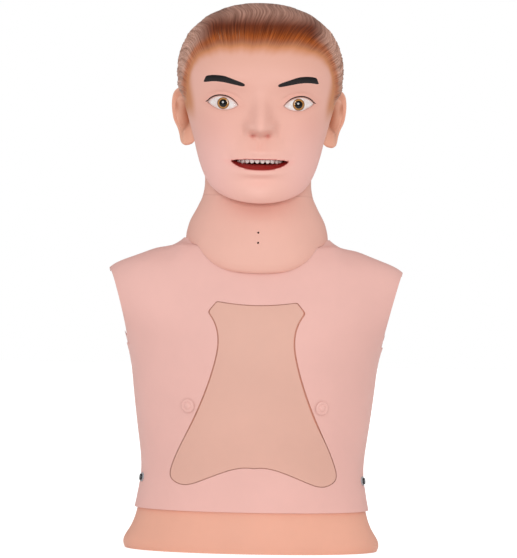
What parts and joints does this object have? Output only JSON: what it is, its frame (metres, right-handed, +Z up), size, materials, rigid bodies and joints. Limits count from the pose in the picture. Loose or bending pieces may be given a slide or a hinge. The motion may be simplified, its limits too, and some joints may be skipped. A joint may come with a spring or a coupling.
{
  "type": "tracheostomy care model",
  "caption": "Head, neck and chest manikin for tracheostomy care, with a turning head, stoma neck skin and a removable vase-shaped chest plate.",
  "frame": {"origin": "centre of the flat waist end on which the model stands", "axes": "+Z up to the crown, the front faces -Y, +X to the model's own left"},
  "size_m": [0.3234, 0.2237, 0.6],
  "materials": {
    "abdomen_shell": "satin moulded",
    "base_plate": "satin moulded",
    "screw_steel": "plain",
    "chest_skin": "soft vinyl",
    "dark_stud": "moulded",
    "grey_washer": "moulded",
    "plate_skin": "soft vinyl",
    "inner_plastic": "moulded",
    "neck_vinyl": "soft vinyl",
    "head_vinyl": "soft vinyl, hair moulded on",
    "eye_gloss": "polished",
    "mouth_red": "satin",
    "teeth": "polished",
    "airway_pink": "soft",
    "organ_red": "soft",
    "lung_pink": "soft foam"
  },
  "bodies": {
    "torso": {"body_shell": "abdomen_shell", "waist_plate": "base_plate", "waist_plate_screws": "screw_steel", "chest_cover": "chest_skin", "cover_studs": "dark_stud", "cover_stud_washers": "grey_washer", "neck_post": "inner_plastic", "neck_post_screws": "screw_steel", "neck_skin": "neck_vinyl", "larynx": "airway_pink", "epiglottis": "airway_pink", "trachea": "airway_pink", "bronchi": "airway_pink", "oesophagus": "organ_red", "left_lung": "lung_pink", "right_lung": "lung_pink", "stomach": "organ_red", "organ_tray": "inner_plastic"},
    "head": {"head_skin": "head_vinyl", "left_eye": "eye_gloss", "right_eye": "eye_gloss", "mouth_liner": "mouth_red", "upper_teeth": "teeth", "tongue": "mouth_red", "swivel_plate": "inner_plastic", "swivel_retainer": "inner_plastic", "swivel_screws": "screw_steel"},
    "plate": {"chest_plate": "plate_skin"}
  },
  "joints": [
    {"name": "head_turn", "type": "hinge", "parent": "torso", "child": "head", "pos_m": [0, 0, 0.383], "axis": [0, 0, 1], "range_deg": [-60, 60]},
    {"name": "chest_plate_lift", "type": "slide", "parent": "torso", "child": "plate", "axis": [0, -1, 0], "range_m": [0, 0.06]}
  ]
}
